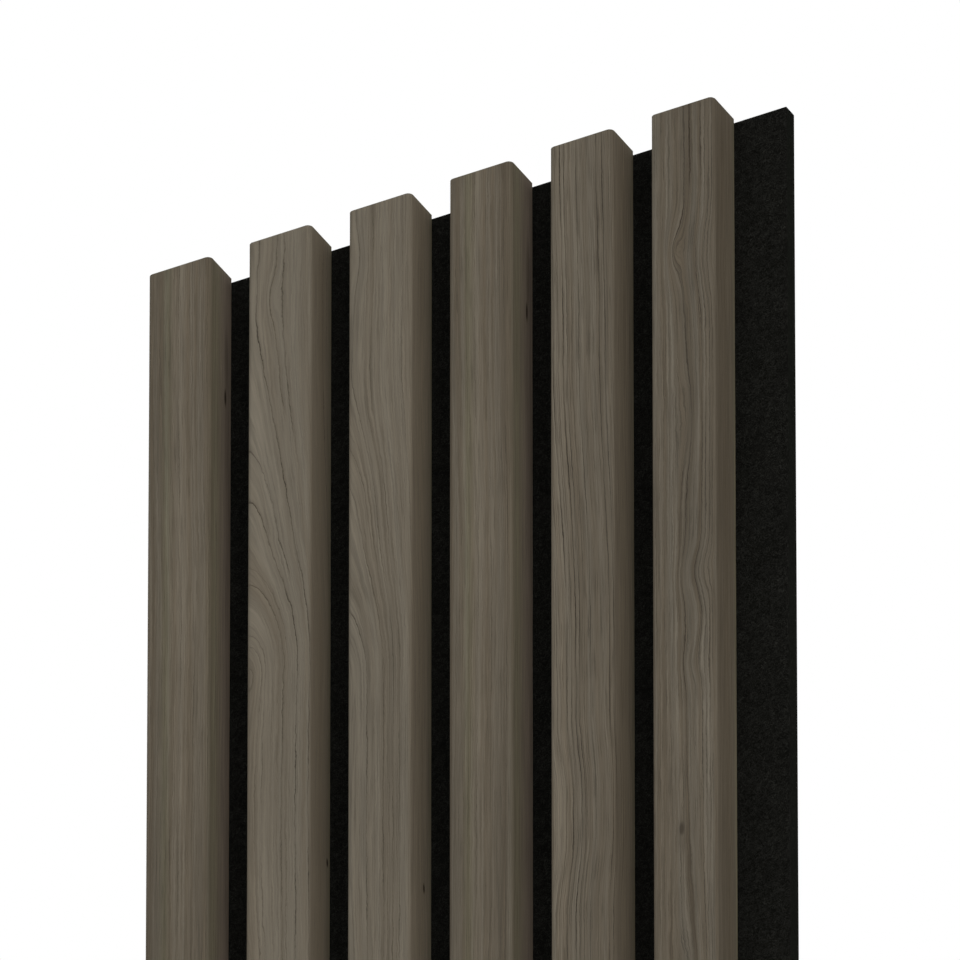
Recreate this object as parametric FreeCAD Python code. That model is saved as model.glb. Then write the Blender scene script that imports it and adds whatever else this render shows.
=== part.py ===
# Acoustic slat wall panel, in millimetres.
# Six slats stand side by side on a sheet of felt and are stapled to it from behind.
# The origin is the centre of the felt's back face, which lies on the wall at Y = 0.
# The front faces -Y. X runs to the right as seen from the front, and Z runs up.

import FreeCAD, Part

import math
import os

V = FreeCAD.Vector

# Slats
slat_count = 6
slat_width = 25.0
slat_depth = 16.0
slat_gap = 15.0
slat_length = 2400.0
slat_front_radius = 2.0
slat_back_bevel = 0.4

# Felt backing
felt_thickness = 6.0
felt_setback = 1.25
lip_overhang = 5.5

# Staples
staple_rows = 9
staple_end_margin = 30.0
staple_crown = 10.0
staple_leg = 14.0
staple_bend = 0.6
staple_point = 1.2
staple_recess = 0.3
staple_clearance = 0.05
wire_thickness = 0.6
wire_width = 1.2

# The felt is as wide as its slats and gaps, so panels side by side keep one even spacing.
slat_pitch = slat_width + slat_gap
felt_width = slat_count * slat_pitch
felt_length = slat_length - 2 * felt_setback
felt_left = -felt_width / 2
felt_front = -felt_thickness
slat_front = felt_front - slat_depth


# The first slat reaches past the felt's left edge as a lip, which covers the seam between panels.
# The felt beyond the last slat is wider than a gap by the same amount, to pass under the next lip.
def slat_left(index):
    return felt_left - lip_overhang + index * slat_pitch


# The middle of the part of a slat that bears on the felt, where its staples go.
def staple_middle(index):
    bearing_left = max(slat_left(index), felt_left)
    bearing_right = slat_left(index) + slat_width
    return (bearing_left + bearing_right) / 2


# A closed outline through (x, y, radius) corners, extruded upwards.
# A corner with a radius becomes an arc tangent to both of its sides.
def rounded_prism(corners, bottom, height):
    points = [V(x, y, bottom) for x, y, radius in corners]
    stops = []
    for number, corner in enumerate(points):
        before = (points[number - 1] - corner).normalize()
        after = (points[(number + 1) % len(points)] - corner).normalize()
        radius = corners[number][2]
        half_angle = before.getAngle(after) / 2
        trim = radius / math.tan(half_angle)
        inwards = (before + after).normalize()
        crest = corner + inwards * (radius / math.sin(half_angle) - radius)
        stops.append((corner + before * trim, crest, corner + after * trim, radius))
    edges = []
    for number, (start, crest, end, radius) in enumerate(stops):
        if radius > 0:
            edges.append(Part.Arc(start, crest, end).toShape())
        next_start = stops[(number + 1) % len(stops)][0]
        edges.append(Part.LineSegment(end, next_start).toShape())
    return Part.Face(Part.Wire(edges)).extrude(V(0, 0, height))


# A slat's section has a flat back with bevelled edges, straight sides and rounded front edges.
def slat_blank(index):
    left = slat_left(index)
    right = left + slat_width
    bevel = slat_back_bevel
    corners = [
        (left + bevel, felt_front, 0),
        (right - bevel, felt_front, 0),
        (right, felt_front - bevel, 0),
        (right, slat_front, slat_front_radius),
        (left, slat_front, slat_front_radius),
        (left, felt_front - bevel, 0),
    ]
    return rounded_prism(corners, -slat_length / 2, slat_length)


# A flat wire bent twice: its crown lies across the slat and its legs run into the slat.
# Grown by a clearance and with no points, the same form is the cavity that a staple sits in.
def bent_wire(index, height, growth, point):
    middle = staple_middle(index)
    crown_back = -staple_recess + growth
    crown_under = -staple_recess - wire_thickness - growth
    outer = staple_crown / 2 + growth
    inner = staple_crown / 2 - wire_thickness - growth
    tip = -staple_recess - staple_leg - growth
    corners = [
        (middle - outer + staple_bend, crown_back, 0),
        (middle + outer - staple_bend, crown_back, 0),
        (middle + outer, crown_back - staple_bend, 0),
        (middle + outer, tip + point, 0),
        (middle + inner, tip, 0),
        (middle + inner, crown_under, 0),
        (middle - inner, crown_under, 0),
        (middle - inner, tip, 0),
        (middle - outer, tip + point, 0),
        (middle - outer, crown_back - staple_bend, 0),
    ]
    across = wire_width + 2 * growth
    return rounded_prism(corners, height - across / 2, across)


def staple(index, height):
    return bent_wire(index, height, 0, staple_point)


def staple_cavity(index, height):
    return bent_wire(index, height, staple_clearance, 0)


# The slot that the crown leaves in the felt's back face as it is driven below the surface.
def crown_slot(index, height):
    width = staple_crown + 2 * staple_clearance
    depth = staple_recess + wire_thickness
    across = wire_width + 2 * staple_clearance
    corner = V(staple_middle(index) - width / 2, -depth, height - across / 2)
    return Part.makeBox(width, depth, across, corner)


def staple_heights():
    span = slat_length - 2 * staple_end_margin
    step = span / (staple_rows - 1)
    return [-span / 2 + row * step for row in range(staple_rows)]


def make_slat(index):
    cavities = [staple_cavity(index, height) for height in staple_heights()]
    return slat_blank(index).cut(cavities)


def make_felt():
    corner = V(felt_left, felt_front, -felt_length / 2)
    sheet = Part.makeBox(felt_width, felt_thickness, felt_length, corner)
    cavities = []
    for index in range(slat_count):
        for height in staple_heights():
            cavities.append(staple_cavity(index, height))
            cavities.append(crown_slot(index, height))
    return sheet.cut(cavities)


def make_staples():
    wires = []
    for index in range(slat_count):
        for height in staple_heights():
            wires.append(staple(index, height))
    return Part.Compound(wires)


nodes = {"felt_backing": make_felt(), "staples": make_staples()}
for index in range(slat_count):
    nodes[f"slat_{index + 1}"] = make_slat(index)

os.makedirs("parts", exist_ok=True)
for name, shape in nodes.items():
    shape.exportStep(f"parts/{name}.step")
    print(name, "solids", len(shape.Solids), "valid", shape.isValid(), "volume", round(shape.Volume, 1))
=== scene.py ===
"""Acoustic slat wall panel: six wrapped slats on a black felt backing, standing on a pale floor."""

import math

import bpy
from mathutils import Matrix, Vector


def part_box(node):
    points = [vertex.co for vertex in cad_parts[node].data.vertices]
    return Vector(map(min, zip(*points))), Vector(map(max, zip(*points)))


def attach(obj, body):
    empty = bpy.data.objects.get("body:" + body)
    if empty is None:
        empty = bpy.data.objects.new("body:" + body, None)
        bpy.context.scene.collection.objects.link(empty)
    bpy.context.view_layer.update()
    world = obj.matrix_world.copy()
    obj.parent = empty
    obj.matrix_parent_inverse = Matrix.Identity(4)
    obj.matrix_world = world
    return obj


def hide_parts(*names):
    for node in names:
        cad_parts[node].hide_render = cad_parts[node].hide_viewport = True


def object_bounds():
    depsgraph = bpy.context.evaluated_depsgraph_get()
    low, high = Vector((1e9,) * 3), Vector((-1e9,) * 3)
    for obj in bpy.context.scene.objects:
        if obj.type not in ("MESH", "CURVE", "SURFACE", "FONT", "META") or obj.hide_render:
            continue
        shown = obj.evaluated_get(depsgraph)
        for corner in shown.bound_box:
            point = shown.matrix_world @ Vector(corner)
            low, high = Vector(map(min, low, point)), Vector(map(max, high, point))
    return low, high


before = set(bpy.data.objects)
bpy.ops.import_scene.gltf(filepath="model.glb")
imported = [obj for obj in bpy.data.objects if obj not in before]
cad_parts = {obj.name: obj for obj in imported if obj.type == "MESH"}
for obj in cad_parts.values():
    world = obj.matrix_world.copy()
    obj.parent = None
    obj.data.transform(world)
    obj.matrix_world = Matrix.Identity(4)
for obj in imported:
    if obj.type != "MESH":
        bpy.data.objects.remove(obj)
cad_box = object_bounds()

MM = 0.001
SLATS = ["slat_1", "slat_2", "slat_3", "slat_4", "slat_5", "slat_6"]

# Wrapped slats: their edges, the line of wrap at a cut end, and the strip of wrap turned to the back
front_radius = 2.0 * MM
front_segments = 8
back_bevel = 0.4 * MM
wrap_thickness = 0.35 * MM
wrap_turn = 3.0 * MM
slat_top = cad_box[1].z / MM

# Printed wood, in millimetres. The side is given painted light, lighter than the front, from turn_start
# to turn_end away from the slat's middle. A drawn line has a soft trail on one side and fades out past
# its ends.
side_painted_light = 0.24
turn_start = 12.0
turn_end = 14.2
least_steep = 0.2
line_width = 0.32
line_trail = 3.5
line_fade = 6.0
line_strength = 0.9
wood_specular = 0.03
wood_roughness = (0.66, 0.78)

# Felt: its softened edges, the fineness of its hairs and clumps, and the slots of its staples
felt_arris = 0.3 * MM
felt_segments = 3
hair_scale = 2200.0
hair_share = 0.75
clump_scale = 600.0
staple_rows = 9
staple_wire_width = 1.2 * MM
slot_width = 10.1 * MM
slot_height = 1.3 * MM
slot_depth = 0.95 * MM

# Camera: a very long lens far away and low down, which keeps the photograph's upright lines parallel
eye_point = (5.387, -9.976, -7.034)
look_turn = math.radians(28.39)
look_up = math.radians(35.6)
lens_mm = 1500.0

# Light: a low strip of lamps to the right of the viewer, a broad fill to the left, a broad lamp
# behind and a dim even sky. Lamps are (strength, turn from straight in front to the right, height,
# spread), with the angles in degrees.
sky_strength = 0.08
LAMPS = {
    "strip_near": (0.36, 20, 4, 26),
    "strip_middle": (1.56, 45, 4, 26),
    "strip_far": (0.54, 70, 4, 26),
    "fill": (1.72, -30, 30, 90),
    "back": (1.6, -140, 20, 50),
}

# Floor: it fades out between two shares of its radius, and is lifted towards white as it is seen
floor_radius = 3.0
floor_sides = 96
floor_fade = (0.35, 0.95)
floor_lift = 0.33

# Limits of a face's normal, by which flat faces are told apart, and of a point's place
facing = 0.99
edge_on = 0.01
same_place = 1e-6
smooth_angle = math.radians(30)


def srgb(red, green, blue):
    """A shader colour from 0 to 255 display values."""
    def linear(value):
        value /= 255
        return value / 12.92 if value <= 0.04045 else ((value + 0.055) / 1.055) ** 2.4

    return (linear(red), linear(green), linear(blue), 1.0)


class Graph:
    """Places and links shader nodes in one node tree."""

    def __init__(self, tree):
        self.tree = tree
        self.column = 0

    def feed(self, node, name, value):
        socket = node.inputs[name]
        if isinstance(value, bpy.types.NodeSocket):
            self.tree.links.new(value, socket)
        else:
            socket.default_value = value

    def node(self, kind, settings=None, **values):
        made = self.tree.nodes.new(kind)
        made.location = (self.column * 180, 0)
        self.column += 1
        for name, value in (settings or {}).items():
            setattr(made, name, value)
        for name, value in values.items():
            self.feed(made, name.replace("_", " "), value)
        return made

    def math(self, operation, *values, clamp=False):
        made = self.node("ShaderNodeMath", {"operation": operation, "use_clamp": clamp})
        for number, value in enumerate(values):
            self.feed(made, number, value)
        return made.outputs[0]

    def combine(self, x, y, z):
        return self.node("ShaderNodeCombineXYZ", X=x, Y=y, Z=z).outputs[0]

    def noise(self, vector, scale, detail=2.0, roughness=0.5):
        made = self.node("ShaderNodeTexNoise", Vector=vector, Scale=scale, Detail=detail,
                         Roughness=roughness)
        return made.outputs["Fac"]

    def fit(self, value, low, high, to_low=0.0, to_high=1.0, smooth=False):
        kind = "SMOOTHSTEP" if smooth else "LINEAR"
        made = self.node("ShaderNodeMapRange", {"interpolation_type": kind, "clamp": True})
        self.feed(made, "Value", value)
        self.feed(made, "From Min", low)
        self.feed(made, "From Max", high)
        self.feed(made, "To Min", to_low)
        self.feed(made, "To Max", to_high)
        return made.outputs["Result"]

    def hump(self, across, along, spot_across, spot_along, width, length):
        """One at the spot, falling smoothly to nothing over the width and length."""
        over = self.math("DIVIDE", self.math("SUBTRACT", across, spot_across), width)
        up = self.math("DIVIDE", self.math("SUBTRACT", along, spot_along), length)
        square = self.math("MULTIPLY_ADD", over, over, self.math("MULTIPLY", up, up))
        return self.math("EXPONENT", self.math("MULTIPLY", square, -1.0))

    def mix(self, factor, first, second, blend="MIX"):
        made = self.node("ShaderNodeMix", {"data_type": "RGBA", "blend_type": blend})
        self.feed(made, 0, factor)
        self.feed(made, 6, first)
        self.feed(made, 7, second)
        return made.outputs[2]


def new_group(name, inputs, outputs):
    """An empty shader group. inputs and outputs are (name, socket kind, value) and (name, kind)."""
    tree = bpy.data.node_groups.new(name, "ShaderNodeTree")
    for title, kind, value in inputs:
        socket = tree.interface.new_socket(title, in_out="INPUT", socket_type=kind)
        if value is not None:
            socket.default_value = value
    for title, kind in outputs:
        tree.interface.new_socket(title, in_out="OUTPUT", socket_type=kind)
    graph = Graph(tree)
    start = graph.node("NodeGroupInput")
    end = graph.node("NodeGroupOutput")
    return graph, start.outputs, end


FLOAT = "NodeSocketFloat"
COLOUR = "NodeSocketColor"


def wrap_position_group():
    """Object coordinates unrolled round a slat, in millimetres: across the wrap, and along it."""
    graph, given, end = new_group(
        "wrap_position",
        [("Middle", FLOAT, 0.0), ("Front", FLOAT, 0.0)],
        [("Across", FLOAT), ("Along", FLOAT)],
    )
    place = graph.node("ShaderNodeTexCoord").outputs["Object"]
    split = graph.node("ShaderNodeSeparateXYZ", Vector=place).outputs
    sideways = graph.math("SUBTRACT", graph.math("MULTIPLY", split["X"], 1000.0), given["Middle"])
    depth = graph.math("SUBTRACT", graph.math("MULTIPLY", split["Y"], 1000.0), given["Front"])
    side = graph.math("SIGN", sideways)
    across = graph.math("ADD", sideways, graph.math("MULTIPLY", side, depth))
    graph.feed(end, "Across", across)
    graph.feed(end, "Along", graph.math("MULTIPLY", split["Z"], 1000.0))
    return graph.tree


def grain_bend_group():
    """Pushes the grain sideways round one spot, as it runs past a knot or a crook."""
    graph, given, end = new_group(
        "grain_bend",
        [("Across", FLOAT, 0.0), ("Along", FLOAT, 0.0), ("Spot Across", FLOAT, 0.0),
         ("Spot Along", FLOAT, 0.0), ("Width", FLOAT, 8.0), ("Length", FLOAT, 30.0),
         ("Push", FLOAT, 2.0)],
        [("Across", FLOAT)],
    )
    fall = graph.hump(given["Across"], given["Along"], given["Spot Across"], given["Spot Along"],
                      given["Width"], given["Length"])
    graph.feed(end, "Across", graph.math("ADD", given["Across"],
                                         graph.math("MULTIPLY", fall, given["Push"])))
    return graph.tree


def growth_lines_group():
    """Growth rings cut lengthwise: distance from the heart in millimetres, and dark line masks.

    The heart's distance below the surface swells and shrinks along the slat, which draws the
    arches and the slanting lines of plain sawn wood.
    """
    graph, given, end = new_group(
        "growth_lines",
        [("Across", FLOAT, 0.0), ("Along", FLOAT, 0.0), ("Heart Across", FLOAT, 0.0),
         ("Depth", FLOAT, 300.0), ("Swell", FLOAT, 100.0), ("Swell Length", FLOAT, 800.0),
         ("Swell Middle", FLOAT, 1095.0), ("Spacing", FLOAT, 1.5), ("Line", FLOAT, 0.3),
         ("Waver", FLOAT, 1.0), ("Bold", FLOAT, 0.5), ("Seed", FLOAT, 0.0)],
        [("Distance", FLOAT), ("Lines", FLOAT), ("Steep", FLOAT)],
    )
    along = given["Along"]
    slow_place = graph.combine(given["Across"], given["Seed"], graph.math("MULTIPLY", along, 0.3))
    slow = graph.noise(slow_place, 0.05, 1.0)
    quick_place = graph.combine(given["Across"], given["Seed"], graph.math("MULTIPLY", along, 0.45))
    quick = graph.noise(quick_place, 0.36, 3.0, 0.7)
    sway = graph.math("ADD", graph.math("MULTIPLY", graph.math("SUBTRACT", slow, 0.5), 5.0),
                      graph.math("MULTIPLY", graph.math("SUBTRACT", quick, 0.5), 5.0))
    sway = graph.math("MULTIPLY", sway, given["Waver"])
    sideways = graph.math("ADD", graph.math("SUBTRACT", given["Across"], given["Heart Across"]), sway)
    turn = graph.math("DIVIDE", graph.math("SUBTRACT", along, given["Swell Middle"]),
                      graph.math("DIVIDE", given["Swell Length"], 2 * math.pi))
    second = graph.math("SINE", graph.math("MULTIPLY", turn, 2.0))
    wave = graph.math("MULTIPLY_ADD", second, 0.3, graph.math("SINE", turn))
    depth = graph.math("MULTIPLY_ADD", wave, given["Swell"], given["Depth"])
    square = graph.math("MULTIPLY_ADD", sideways, sideways, depth)
    distance = graph.math("SQRT", graph.math("MAXIMUM", square, 1.0))
    steep = graph.math("DIVIDE", graph.math("ABSOLUTE", sideways), distance)
    steep = graph.math("MAXIMUM", steep, least_steep)
    phase = graph.math("DIVIDE", distance, given["Spacing"])
    ring = graph.math("FLOOR", phase)
    part = graph.math("FRACT", phase)
    random = graph.node("ShaderNodeTexWhiteNoise", {"noise_dimensions": "2D"},
                        Vector=graph.combine(ring, given["Seed"], 0.0)).outputs["Color"]
    chance = graph.node("ShaderNodeSeparateColor", Color=random).outputs
    away = graph.math("SUBTRACT", part, graph.fit(chance["Red"], 0.0, 1.0, 0.3, 0.7))
    half = graph.math("DIVIDE", graph.math("MULTIPLY", given["Line"], steep), given["Spacing"])
    thin = graph.fit(graph.math("ABSOLUTE", away), 0.0, half, 1.0, 0.0, smooth=True)
    after = graph.math("GREATER_THAN", away, 0.0)
    trail = graph.math("MULTIPLY", graph.fit(away, 0.0, 0.3, 0.25, 0.0), after)
    patch_place = graph.combine(ring, given["Seed"], graph.math("MULTIPLY", along, 0.018))
    patch = graph.fit(graph.noise(patch_place, 1.0, 1.0), 0.36, 0.56)
    rare = graph.math("SUBTRACT", 1.0, given["Bold"])
    force = graph.math("MULTIPLY", graph.fit(chance["Green"], rare, 1.0, 0.0, 0.75), patch)
    lines = graph.math("MULTIPLY", graph.math("MAXIMUM", thin, trail), force)
    graph.feed(end, "Distance", distance)
    graph.feed(end, "Lines", lines)
    graph.feed(end, "Steep", steep)
    return graph.tree


def drawn_line_group():
    """One dark growth line at a given distance from the heart, between two heights."""
    graph, given, end = new_group(
        "drawn_line",
        [("Distance", FLOAT, 0.0), ("Along", FLOAT, 0.0), ("Lines", FLOAT, 0.0), ("Place", FLOAT, 20.0),
         ("Width", FLOAT, 0.3), ("Force", FLOAT, 1.0), ("Low", FLOAT, 0.0), ("High", FLOAT, 0.0)],
        [("Lines", FLOAT)],
    )
    away = graph.math("SUBTRACT", given["Distance"], given["Place"])
    width = given["Width"]
    thin = graph.fit(graph.math("ABSOLUTE", away), 0.0, width, 1.0, 0.0, smooth=True)
    trail_end = graph.math("MULTIPLY", width, line_trail)
    after = graph.math("GREATER_THAN", away, 0.0)
    trail = graph.math("MULTIPLY", graph.fit(away, 0.0, trail_end, 0.3, 0.0), after)
    along = given["Along"]
    rise = graph.fit(along, graph.math("SUBTRACT", given["Low"], line_fade), given["Low"])
    drop = graph.fit(along, given["High"], graph.math("ADD", given["High"], line_fade), 1.0, 0.0)
    own_turn = graph.math("MULTIPLY", given["Place"], 5.0)
    ripple = graph.math("SINE", graph.math("MULTIPLY_ADD", along, 0.13, own_turn))
    force = graph.math("MULTIPLY", given["Force"], graph.math("MULTIPLY_ADD", ripple, 0.25, 0.75))
    force = graph.math("MULTIPLY", force, graph.math("MULTIPLY", rise, drop))
    line = graph.math("MULTIPLY", graph.math("MAXIMUM", thin, trail), force)
    graph.feed(end, "Lines", graph.math("MAXIMUM", line, given["Lines"]))
    return graph.tree


def wood_colour_group():
    """Colour and roughness of the printed wood wrap."""
    graph, given, end = new_group(
        "wood_colour",
        [("Across", FLOAT, 0.0), ("Along", FLOAT, 0.0), ("Distance", FLOAT, 0.0),
         ("Lines", FLOAT, 0.0), ("Follow", FLOAT, 0.5), ("Seed", FLOAT, 0.0),
         ("Tone", FLOAT, 1.0), ("Turned", FLOAT, 0.0), ("Streaks", FLOAT, 1.0),
         ("Share", FLOAT, 0.5), ("Fibres", FLOAT, 1.0),
         ("Brown", COLOUR, (0.1, 0.1, 0.1, 1.0)), ("Pale", COLOUR, (0.1, 0.1, 0.1, 1.0)),
         ("Line Colour", COLOUR, (0.1, 0.1, 0.1, 1.0)), ("Pores", FLOAT, 0.5)],
        [("Colour", COLOUR), ("Roughness", FLOAT)],
    )
    along = given["Along"]
    seed = given["Seed"]
    rest = graph.math("SUBTRACT", 1.0, given["Follow"])
    thread = graph.math("MULTIPLY_ADD", given["Distance"], given["Follow"],
                        graph.math("MULTIPLY", given["Across"], rest))

    def stretched(share):
        return graph.combine(thread, seed, graph.math("MULTIPLY", along, share))

    streak = graph.noise(stretched(0.01), 0.36, 2.0, 0.65)
    fibre = graph.noise(stretched(0.012), 2.6, 2.0, 0.7)
    pore = graph.noise(stretched(0.018), 4.2, 0.0)
    paleness = graph.math("MULTIPLY_ADD", graph.fit(streak, 0.3, 0.68, -0.5, 0.5, smooth=True),
                          given["Streaks"], given["Share"], clamp=True)
    # On the side (Turned) the wood is made less pale and so browner: painted shade colour.
    paleness = graph.math("MULTIPLY", paleness, graph.math("MULTIPLY_ADD", given["Turned"], -0.75, 1.0))
    base = graph.mix(paleness, given["Brown"], given["Pale"])
    thready = graph.math("MULTIPLY_ADD", graph.fit(fibre, 0.2, 0.8, -0.28, 0.28), given["Fibres"], 1.0)
    tone = graph.math("MULTIPLY", given["Tone"], thready)
    toned = graph.mix(1.0, base, graph.combine(tone, tone, tone), "MULTIPLY")
    pores = graph.math("MULTIPLY", graph.fit(pore, 0.56, 0.7, smooth=True), given["Pores"])
    pores = graph.math("MULTIPLY", pores, graph.math("MULTIPLY_ADD", given["Turned"], -0.7, 1.0))
    dark = graph.math("MAXIMUM", given["Lines"], pores)
    dark = graph.math("MULTIPLY", dark, line_strength)
    graph.feed(end, "Colour", graph.mix(dark, toned, given["Line Colour"]))
    graph.feed(end, "Roughness", graph.fit(fibre, 0.2, 0.8, *wood_roughness))
    return graph.tree


def new_material(name):
    material = bpy.data.materials.new(name)
    material.use_nodes = True
    material.node_tree.nodes.clear()
    graph = Graph(material.node_tree)
    output = graph.node("ShaderNodeOutputMaterial")
    shader = graph.node("ShaderNodeBsdfPrincipled")
    graph.feed(output, "Surface", shader.outputs[0])
    return material, graph, shader


def add_bump(graph, shader, height, strength, distance):
    bump = graph.node("ShaderNodeBump", Height=height, Strength=strength, Distance=distance)
    graph.feed(shader, "Normal", bump.outputs[0])


def use_group(graph, group, **values):
    made = graph.node("ShaderNodeGroup", {"node_tree": group})
    for name, value in values.items():
        graph.feed(made, name.replace("_", " "), value)
    return made.outputs


BROWN = srgb(87, 79, 67)
PALE = srgb(101, 95, 84)
LINE = srgb(42, 36, 29)
KNOT = srgb(37, 31, 24)
PLUM = (1.01, 0.975, 1.04, 1.0)
RUSSET = (1.01, 0.995, 0.97, 1.0)
OLIVE = (0.97, 1.02, 0.95, 1.0)
WHOLE = (-1300.0, 1300.0)

# Each slat's figure. Lengths are in millimetres, and depth and swell in square millimetres.
# steps are (low, high, depth added) and bends (across, along, width, length, push).
# bands are (across, width, tone), clouds (along, length, tone), tints (across, width, tint) and
# knots (across, along, width, length, strength). drawn lines are (distance from the heart, force,
# (low, high)).
# share is how much of the wood is pale, and streaks and fibres how strongly the broad and the fine
# stripes show. The figure runs down from the top of the slat, squeezed lengthwise by squeeze.
# The russet side tint is painted shade colour, browner towards the back of the groove.
SIDE_TINTS = [(21.0, 4.0, RUSSET), (27.8, 1.4, OLIVE)]
STRAIGHT = dict(heart_across=-60.0, depth=300.0, swell=90.0, swell_length=310.0, swell_middle=1120.0,
                steps=[], spacing=1.6, line=0.2, waver=0.25, bold=0.45, seed=3.1, follow=0.9, pores=0.25,
                streaks=0.7, share=0.3, fibres=1.2, tone=1.08, squeeze=0.85, bends=[],
                # the band at across 14.3 is painted shade on the rounded corner
                bands=[(-7.5, 4.5, -0.22), (1.0, 4.0, 0.06), (9.5, 4.0, -0.14), (14.3, 1.6, -0.25)],
                knots=[(24.0, 1154.0, 0.9, 3.6, 0.95), (24.8, 1168.0, 1.6, 14.0, 0.3),
                       (25.5, 1120.0, 3.0, 60.0, 0.2)],
                # the plum tint at across 25.5 is painted shade colour towards the back of the side
                tints=[(25.5, 4.0, PLUM), (16.5, 3.0, OLIVE), (-4.5, 1.6, OLIVE)],
                clouds=[(1187.0, 20.0, 0.09), (1080.0, 60.0, 0.1), (965.0, 40.0, -0.05)],
                drawn=[(60.0, 0.4, WHOLE), (62.6, 0.35, WHOLE), (55.0, 0.3, WHOLE), (52.5, 0.3, WHOLE)])
FIGURES = {
    "slat_1": STRAIGHT,
    "slat_2": dict(heart_across=-12.8, depth=85.0, swell=100.0, swell_length=600.0,
                   swell_middle=885.0, steps=[(1042.0, 1177.0, 550.0), (1045.0, 1092.0, 200.0)],
                   spacing=1.3, line=0.18, waver=0.4, bold=0.3, seed=7.7, follow=0.9, pores=0.15,
                   streaks=0.6, share=0.65, fibres=0.8, tone=1.1, squeeze=0.83, tints=SIDE_TINTS,
                   bends=[(-2.5, 1177.0, 3.0, 9.0, 3.0), (-12.0, 1043.0, 6.5, 12.0, -1.5)],
                   bands=[(-7.5, 4.0, 0.13), (-2.0, 6.0, 0.04)], clouds=[(1000.0, 25.0, -0.06)],
                   knots=[(26.2, 980.0, 0.8, 1.8, 0.95)],
                   drawn=[(32.4, 0.8, (1130.0, 1300.0)), (31.2, 0.8, (1140.0, 1300.0)),
                          (29.2, 1.0, (900.0, 1300.0)), (29.2, 0.45, WHOLE),
                          (26.2, 0.8, (1080.0, 1300.0)), (24.3, 1.0, (890.0, 1300.0)),
                          (24.3, 0.4, WHOLE), (20.1, 0.8, (905.0, 1300.0)), (20.1, 0.4, WHOLE),
                          (15.5, 0.5, WHOLE), (14.6, 0.5, WHOLE)]),
    "slat_3": dict(heart_across=-14.5, depth=85.0, swell=53.0, swell_length=600.0,
                   swell_middle=877.0, steps=[(1084.0, 1144.0, 200.0), (1033.0, 1094.0, 250.0)],
                   spacing=1.25, line=0.18, waver=0.3, bold=0.35, seed=12.4, follow=0.93, pores=0.2,
                   streaks=0.45, share=0.65, fibres=1.0, tone=1.13, squeeze=0.81, tints=SIDE_TINTS,
                   bends=[(-9.0, 1182.0, 4.0, 9.0, -2.0)],
                   bands=[(-13.0, 5.0, -0.02), (10.0, 4.0, -0.04)],
                   clouds=[(1125.0, 45.0, 0.06), (1000.0, 45.0, -0.09)],
                   knots=[(22.8, 964.0, 0.8, 2.0, 0.95)],
                   drawn=[(23.6, 0.7, WHOLE), (25.9, 0.6, WHOLE), (25.0, 0.4, WHOLE), (20.3, 0.7, WHOLE),
                          (15.5, 0.9, WHOLE), (22.3, 0.4, WHOLE)]),
    "slat_4": dict(STRAIGHT, heart_across=-62.2, tone=1.0, squeeze=0.79,
                   # the band at across 14.3 is painted shade on the rounded corner
                   bands=[(-9.5, 3.5, -0.12), (-2.5, 3.5, 0.1), (1.0, 4.0, 0.05), (9.5, 3.5, -0.13),
                          (14.3, 1.6, -0.16)]),
    "slat_5": dict(heart_across=-60.0, depth=900.0, swell=20.0, swell_length=600.0,
                   swell_middle=1090.0,
                   steps=[(1140.0, 1200.0, 130.0), (1040.0, 1130.0, 520.0), (984.0, 1010.0, 250.0),
                          (946.0, 972.0, -280.0)],
                   spacing=1.2, line=0.2, waver=0.18, bold=0.75, seed=21.9, follow=0.97, pores=0.4,
                   streaks=0.5, share=0.45, fibres=1.3, tone=1.06, squeeze=0.77,
                   tints=SIDE_TINTS, bends=[],
                   bands=[(-8.0, 4.5, 0.2), (5.0, 5.0, -0.08), (12.0, 3.0, -0.08)],
                   clouds=[(1000.0, 25.0, 0.03)], knots=[],
                   drawn=[(64.9, 1.2, WHOLE), (76.9, 1.0, WHOLE), (78.9, 1.0, WHOLE), (70.1, 0.8, WHOLE),
                          (61.7, 1.1, WHOLE), (63.3, 0.8, WHOLE), (66.2, 0.9, WHOLE)]),
    "slat_6": dict(heart_across=-60.0, depth=900.0, swell=20.0, swell_length=400.0,
                   swell_middle=1075.0, steps=[], spacing=1.5, line=0.2, waver=0.3, bold=0.4,
                   seed=33.3, follow=0.95, pores=0.35, streaks=1.0, share=0.4, fibres=1.2, tone=1.0,
                   squeeze=0.75, tints=SIDE_TINTS,
                   bends=[(7.0, 1150.0, 12.0, 13.0, 2.2), (5.0, 1049.0, 7.0, 8.0, 3.0),
                          (4.0, 1021.0, 5.0, 6.0, 1.6), (2.5, 1098.0, 3.6, 17.0, -2.9),
                          (-2.0, 1154.0, 3.4, 8.0, 3.8), (3.5, 912.0, 5.2, 36.0, -4.6)],
                   # the band at across 20.0 is painted shade on the open side of this last slat
                   bands=[(3.0, 3.0, -0.17), (9.5, 3.0, 0.05), (20.0, 8.0, -0.22)],
                   clouds=[(1066.0, 20.0, -0.07), (995.0, 28.0, 0.09)],
                   knots=[(-0.8, 969.0, 1.2, 2.4, 0.55), (-0.6, 967.0, 2.4, 7.0, 0.22)],
                   drawn=[(70.0, 1.3, (1177.0, 1300.0)), (73.8, 0.9, WHOLE), (68.0, 1.0, (985.0, 1300.0)),
                          (75.2, 0.8, WHOLE), (76.7, 0.8, WHOLE), (77.8, 0.7, WHOLE),
                          (66.6, 0.7, (975.0, 1015.0)), (68.3, 0.5, (900.0, 970.0)),
                          (62.6, 0.5, WHOLE)]),
}


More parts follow.
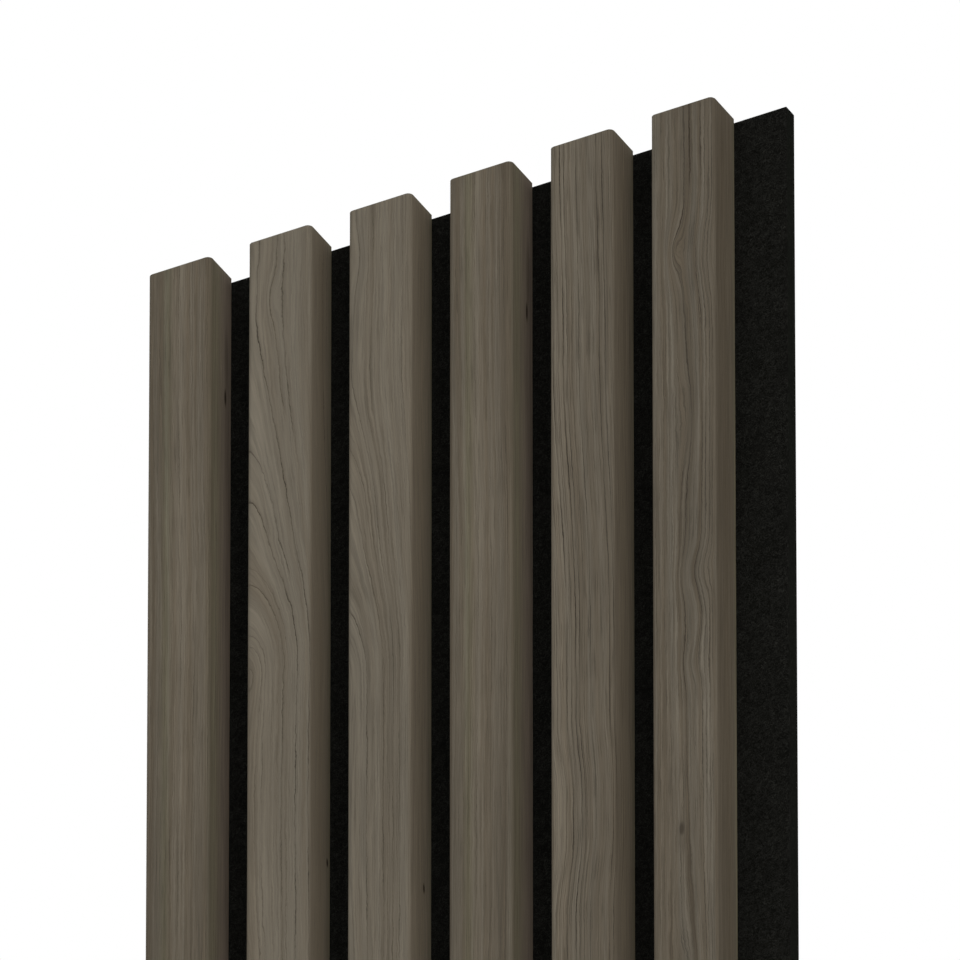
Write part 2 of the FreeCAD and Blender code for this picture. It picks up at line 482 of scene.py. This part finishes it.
def wood_material(name, groups, low, high):
    material, graph, shader = new_material(f"wrap_{name}")
    figure = FIGURES[name]
    middle = (low.x + high.x) / 2 / MM
    front = low.y / MM
    place = use_group(graph, groups["position"], Middle=middle, Front=front)
    level = place["Across"]
    squeeze = figure["squeeze"]
    along = graph.math("MULTIPLY_ADD", place["Along"], squeeze, slat_top * (1 - squeeze))
    across = level
    for spot_across, spot_along, width, length, push in figure["bends"]:
        bend = use_group(graph, groups["bend"], Across=across, Along=along,
                         Spot_Across=spot_across, Spot_Along=spot_along, Width=width,
                         Length=length, Push=push)
        across = bend["Across"]
    depth = figure["depth"]
    for low_end, high_end, gain in figure["steps"]:
        depth = graph.math("ADD", graph.fit(along, low_end, high_end, 0.0, gain, smooth=True), depth)
    rings = use_group(graph, groups["rings"], Across=across, Along=along,
                      Heart_Across=figure["heart_across"], Depth=depth, Swell=figure["swell"],
                      Swell_Length=figure["swell_length"], Swell_Middle=figure["swell_middle"],
                      Spacing=figure["spacing"], Line=figure["line"], Waver=figure["waver"],
                      Bold=figure["bold"], Seed=figure["seed"])
    lines = rings["Lines"]
    drawn_width = graph.math("MULTIPLY", rings["Steep"], line_width)
    for distance, force, (low_end, high_end) in figure["drawn"]:
        drawn = use_group(graph, groups["drawn"], Distance=rings["Distance"], Along=along,
                          Lines=lines, Place=distance, Width=drawn_width, Force=force,
                          Low=low_end, High=high_end)
        lines = drawn["Lines"]
    # Painted light: the slat's side is made lighter than its front by side_painted_light.
    turned = graph.fit(graph.math("ABSOLUTE", level), turn_start, turn_end)
    tone = graph.math("MULTIPLY_ADD", turned, side_painted_light, figure["tone"])
    for band_across, width, gain in figure["bands"]:
        fall = graph.hump(level, 0.0, band_across, 0.0, width, 1.0)
        tone = graph.math("MULTIPLY_ADD", fall, gain, tone)
    for cloud_along, length, gain in figure["clouds"]:
        fall = graph.hump(0.0, along, 0.0, cloud_along, 1.0, length)
        tone = graph.math("MULTIPLY_ADD", fall, gain, tone)
    skin = use_group(graph, groups["wood"], Across=across, Along=along,
                     Distance=rings["Distance"], Lines=lines, Follow=figure["follow"],
                     Seed=figure["seed"], Tone=tone, Turned=turned, Streaks=figure["streaks"],
                     Share=figure["share"], Fibres=figure["fibres"], Brown=BROWN, Pale=PALE,
                     Line_Colour=LINE, Pores=figure["pores"])
    colour = skin["Colour"]
    for tint_across, width, tint in figure["tints"]:
        fall = graph.hump(level, 0.0, tint_across, 0.0, width, 1.0)
        colour = graph.mix(fall, colour, tint, "MULTIPLY")
    for knot_across, knot_along, width, length, strength in figure["knots"]:
        spot = graph.hump(level, along, knot_across, knot_along, width, length)
        colour = graph.mix(graph.fit(spot, 0.2, 0.9, 0.0, strength, smooth=True), colour, KNOT)
    graph.feed(shader, "Base Color", colour)
    graph.feed(shader, "Roughness", skin["Roughness"])
    graph.feed(shader, "Specular IOR Level", wood_specular)
    return material


FELT_DARK = srgb(10, 10, 8)
FELT_LIGHT = srgb(39, 39, 36)
CUT_DARK = srgb(16, 17, 14)
CUT_LIGHT = srgb(32, 33, 28)


def fibreboard_material():
    material, graph, shader = new_material("fibreboard")
    place = graph.node("ShaderNodeTexCoord").outputs["Object"]
    mottle = graph.noise(place, 1400.0, 3.0, 0.7)
    clump = graph.noise(place, 260.0, 2.0)
    tone = graph.math("ADD", graph.math("MULTIPLY", mottle, 0.6), graph.math("MULTIPLY", clump, 0.4))
    colour = graph.mix(graph.fit(tone, 0.3, 0.7), srgb(112, 86, 60), srgb(160, 130, 98))
    graph.feed(shader, "Base Color", colour)
    graph.feed(shader, "Roughness", 0.85)
    graph.feed(shader, "Specular IOR Level", 0.2)
    add_bump(graph, shader, mottle, 0.5, 0.0002)
    return material


def wrap_edge_material():
    material, graph, shader = new_material("wrap_edge")
    place = graph.node("ShaderNodeTexCoord").outputs["Object"]
    colour = graph.mix(graph.noise(place, 900.0, 2.0), srgb(60, 52, 44), srgb(92, 84, 73))
    graph.feed(shader, "Base Color", colour)
    graph.feed(shader, "Roughness", 0.6)
    return material


def felt_material(name, dark, light):
    material, graph, shader = new_material(name)
    place = graph.node("ShaderNodeTexCoord").outputs["Object"]
    twist = graph.node("ShaderNodeTexNoise", Vector=place, Scale=160.0, Detail=2.0).outputs["Color"]
    bent = graph.node("ShaderNodeVectorMath", {"operation": "MULTIPLY_ADD"})
    graph.feed(bent, 0, twist)
    graph.feed(bent, 1, (0.006, 0.006, 0.006))
    graph.feed(bent, 2, place)
    hair = graph.noise(bent.outputs[0], hair_scale, 2.0, 0.75)
    clump = graph.noise(place, clump_scale, 2.0, 0.6)
    drift = graph.noise(place, 60.0, 2.0)
    value = graph.math("ADD", graph.math("MULTIPLY", hair, hair_share),
                       graph.math("MULTIPLY", clump, 1 - hair_share))
    colour = graph.mix(graph.fit(value, 0.45, 0.7), dark, light)
    shade = graph.fit(drift, 0.3, 0.7, 0.88, 1.1)
    colour = graph.mix(1.0, colour, graph.combine(shade, shade, shade), "MULTIPLY")
    graph.feed(shader, "Base Color", colour)
    graph.feed(shader, "Roughness", 1.0)
    graph.feed(shader, "Specular IOR Level", 0.02)
    add_bump(graph, shader, value, 0.6, 0.0004)
    return material


def wire_material():
    material, graph, shader = new_material("galvanised_wire")
    place = graph.node("ShaderNodeTexCoord").outputs["Object"]
    draw = graph.node("ShaderNodeMapping", Vector=place, Scale=(300.0, 3000.0, 3000.0)).outputs[0]
    scratch = graph.noise(draw, 1.0, 3.0, 0.6)
    graph.feed(shader, "Base Color", graph.mix(scratch, srgb(150, 150, 148), srgb(205, 205, 202)))
    graph.feed(shader, "Metallic", 1.0)
    graph.feed(shader, "Roughness", graph.fit(scratch, 0.3, 0.7, 0.25, 0.45))
    return material


def deselect():
    if bpy.context.object and bpy.context.object.mode != "OBJECT":
        bpy.ops.object.mode_set(mode="OBJECT")
    bpy.ops.object.select_all(action="DESELECT")


def block(name, low, high):
    """A box of the given corners, made active and alone in the selection."""
    deselect()
    bpy.ops.mesh.primitive_cube_add(size=1.0, location=(low + high) / 2, scale=high - low)
    piece = bpy.context.object
    piece.name = name
    piece.data.name = name
    bpy.ops.object.transform_apply(location=True, rotation=True, scale=True)
    return piece


def choose(piece, mode, wanted):
    """Leaves selected, in edit mode, only the edges or faces that wanted() accepts."""
    bpy.ops.object.mode_set(mode="EDIT")
    bpy.ops.mesh.select_mode(type=mode)
    bpy.ops.mesh.select_all(action="DESELECT")
    bpy.ops.object.mode_set(mode="OBJECT")
    mesh = piece.data
    items = mesh.polygons if mode == "FACE" else mesh.edges
    for item in items:
        item.select = wanted(item)
    bpy.ops.object.mode_set(mode="EDIT")


def edge_ends(piece, edge):
    return [piece.data.vertices[number].co for number in edge.vertices]


def near(first, second):
    return abs(first - second) < same_place


def long_edge_at(piece, edge, y, high, low):
    """True for an edge that runs the whole length at depth y."""
    first, second = edge_ends(piece, edge)
    runs_up = abs(first.z - second.z) > (high.z - low.z) / 2
    return runs_up and near(first.y, y) and near(second.y, y)


def finish_surface(piece):
    deselect()
    piece.select_set(True)
    bpy.context.view_layer.objects.active = piece
    bpy.ops.object.shade_smooth_by_angle(angle=smooth_angle)
    bpy.ops.object.modifier_add(type="WEIGHTED_NORMAL")
    piece.modifiers[-1].keep_sharp = True
    bpy.ops.object.modifier_apply(modifier=piece.modifiers[-1].name)


def make_slat(name, wood, board, wrap_edge):
    """A slat with rounded front edges, and a thin wrap that shows at its cut ends and back."""
    low, high = (Vector(corner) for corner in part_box(name))
    piece = block(f"{name}_wrapped", low, high)
    for material in (wood, board, wrap_edge):
        piece.data.materials.append(material)

    choose(piece, "EDGE", lambda edge: long_edge_at(piece, edge, low.y, high, low))
    bpy.ops.mesh.bevel(offset=front_radius, segments=front_segments, profile=0.5, affect="EDGES")
    choose(piece, "EDGE", lambda edge: long_edge_at(piece, edge, high.y, high, low))
    bpy.ops.mesh.bevel(offset=back_bevel, segments=1, affect="EDGES")

    def is_back(face):
        return face.normal.y > facing

    def is_end(face):
        return abs(face.normal.z) > facing

    for x, away in ((low.x + wrap_turn, -1.0), (high.x - wrap_turn, 1.0)):
        choose(piece, "FACE", is_back)
        bpy.ops.mesh.bisect(plane_co=(x, 0.0, 0.0), plane_no=(away, 0.0, 0.0))
    bpy.ops.object.mode_set(mode="OBJECT")
    for face in piece.data.polygons:
        inside = low.x + wrap_turn < face.center.x < high.x - wrap_turn
        if is_back(face) and inside:
            face.material_index = 1

    choose(piece, "FACE", is_end)
    bpy.ops.mesh.inset(thickness=wrap_thickness)
    bpy.ops.object.mode_set(mode="OBJECT")
    for face in piece.data.polygons:
        if is_end(face):
            face.material_index = 1 if face.select else 2
    finish_surface(piece)
    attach(piece, "root")
    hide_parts(name)


def staple_slots(low, high):
    """One mesh of blocks, where the staples' crowns are driven into the felt's back face."""
    staples_low, staples_high = (Vector(corner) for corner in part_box("staples"))
    bottom = staples_low.z + staple_wire_width / 2
    step = (staples_high.z - staples_low.z - staple_wire_width) / (staple_rows - 1)
    half = Vector((slot_width / 2, slot_depth, slot_height / 2))
    slots = []
    for name in SLATS:
        slat_low, slat_high = (Vector(corner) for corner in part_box(name))
        middle = (max(slat_low.x, low.x) + slat_high.x) / 2
        for row in range(staple_rows):
            centre = Vector((middle, high.y, bottom + row * step))
            slots.append(block("staple_slots", centre - half, centre + half))
    deselect()
    for slot in slots:
        slot.select_set(True)
    bpy.ops.object.join()
    return bpy.context.object


def cut_away(piece, cutter):
    """Takes the cutter's form out of the piece, and deletes the cutter."""
    deselect()
    bpy.context.view_layer.objects.active = piece
    bpy.ops.object.modifier_add(type="BOOLEAN")
    cut = piece.modifiers[-1]
    cut.operation = "DIFFERENCE"
    cut.solver = "EXACT"
    cut.object = cutter
    bpy.ops.object.modifier_apply(modifier=cut.name)
    cutter.select_set(True)
    bpy.ops.object.delete()


def make_felt(face_material, cut_material):
    """The felt sheet, with softened cut edges and the slots of its staples."""
    low, high = (Vector(corner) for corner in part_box("felt_backing"))
    piece = block("felt_sheet", low, high)
    piece.data.materials.append(face_material)
    piece.data.materials.append(cut_material)
    choose(piece, "EDGE", lambda edge: True)
    bpy.ops.mesh.bevel(offset=felt_arris, segments=felt_segments, profile=0.5, affect="EDGES")
    bpy.ops.object.mode_set(mode="OBJECT")
    for face in piece.data.polygons:
        if abs(face.normal.y) < edge_on:
            face.material_index = 1
    cut_away(piece, staple_slots(low, high))
    finish_surface(piece)
    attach(piece, "root")
    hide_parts("felt_backing")


def dress_staples(material):
    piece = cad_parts["staples"]
    for place in piece.material_slots:
        place.material = material


def place_camera():
    data = bpy.data.cameras.new("camera")
    data.lens = lens_mm
    data.clip_end = 100.0
    camera = bpy.data.objects.new("camera", data)
    bpy.context.scene.collection.objects.link(camera)
    camera.location = eye_point
    forward = Vector((-math.sin(look_turn) * math.cos(look_up),
                      math.cos(look_turn) * math.cos(look_up), math.sin(look_up)))
    camera.rotation_mode = "QUATERNION"
    camera.rotation_quaternion = forward.to_track_quat("-Z", "Y")
    bpy.context.scene.camera = camera


def make_sky():
    """A dim even sky that lights the object, and shows as plain white behind it."""
    world = bpy.data.worlds.new("studio")
    bpy.context.scene.world = world
    world.use_nodes = True
    world.node_tree.nodes.clear()
    graph = Graph(world.node_tree)
    path = graph.node("ShaderNodeLightPath").outputs
    seen = graph.math("MAXIMUM", path["Is Camera Ray"],
                      graph.math("MAXIMUM", path["Is Glossy Ray"], path["Is Transmission Ray"]))
    strength = graph.fit(seen, 0.0, 1.0, sky_strength, 1.0)
    background = graph.node("ShaderNodeBackground", Color=(1.0, 1.0, 1.0, 1.0), Strength=strength)
    output = graph.node("ShaderNodeOutputWorld")
    graph.feed(output, "Surface", background.outputs[0])


def make_lamp(name, strength, turn, height, spread):
    """A broad, even light from far away."""
    data = bpy.data.lights.new(name, "SUN")
    data.energy = strength
    data.angle = math.radians(spread)
    lamp = bpy.data.objects.new(name, data)
    bpy.context.scene.collection.objects.link(lamp)
    turn = math.radians(turn)
    height = math.radians(height)
    travel = Vector((-math.sin(turn) * math.cos(height), math.cos(turn) * math.cos(height),
                     -math.sin(height)))
    lamp.rotation_mode = "QUATERNION"
    lamp.rotation_quaternion = travel.to_track_quat("-Z", "Y")


def make_floor():
    """A pale round floor that fades into the white background, and is clear from below."""
    material, graph, shader = new_material("pale_floor")
    graph.feed(shader, "Base Color", srgb(232, 231, 229))
    graph.feed(shader, "Roughness", 0.9)
    place = graph.node("ShaderNodeTexCoord").outputs["Object"]
    reach = graph.node("ShaderNodeVectorMath", {"operation": "LENGTH"})
    graph.feed(reach, 0, place)
    fade_start, fade_end = (share * floor_radius for share in floor_fade)
    fade = graph.fit(reach.outputs["Value"], fade_start, fade_end, smooth=True)
    under = graph.node("ShaderNodeNewGeometry").outputs["Backfacing"]
    fade = graph.math("MAXIMUM", fade, under)
    seen = graph.node("ShaderNodeLightPath").outputs["Is Camera Ray"]
    graph.feed(shader, "Emission Color", (1.0, 1.0, 1.0, 1.0))
    graph.feed(shader, "Emission Strength", graph.math("MULTIPLY", seen, floor_lift))
    clear = graph.node("ShaderNodeBsdfTransparent")
    blend = graph.node("ShaderNodeMixShader")
    graph.feed(blend, 0, fade)
    graph.feed(blend, 1, shader.outputs[0])
    graph.feed(blend, 2, clear.outputs[0])
    output = next(node for node in material.node_tree.nodes if node.type == "OUTPUT_MATERIAL")
    graph.feed(output, "Surface", blend.outputs[0])
    deselect()
    bpy.ops.mesh.primitive_circle_add(vertices=floor_sides, radius=floor_radius, fill_type="NGON",
                                      location=(0.0, 0.0, 0.0))
    floor = bpy.context.object
    floor.name = "floor"
    floor.location.z = cad_box[0].z
    floor.data.materials.append(material)


place_camera()
make_sky()
for name, (strength, turn, height, spread) in LAMPS.items():
    make_lamp(name, strength, turn, height, spread)
make_floor()

groups = {
    "position": wrap_position_group(),
    "bend": grain_bend_group(),
    "rings": growth_lines_group(),
    "drawn": drawn_line_group(),
    "wood": wood_colour_group(),
}
board = fibreboard_material()
wrap_edge = wrap_edge_material()
for name in SLATS:
    corners = [Vector(corner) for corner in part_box(name)]
    make_slat(name, wood_material(name, groups, *corners), board, wrap_edge)
make_felt(felt_material("felt_fibres", FELT_DARK, FELT_LIGHT),
          felt_material("felt_cut_edge", CUT_DARK, CUT_LIGHT))
dress_staples(wire_material())

bpy.context.scene.view_settings.view_transform = "Standard"
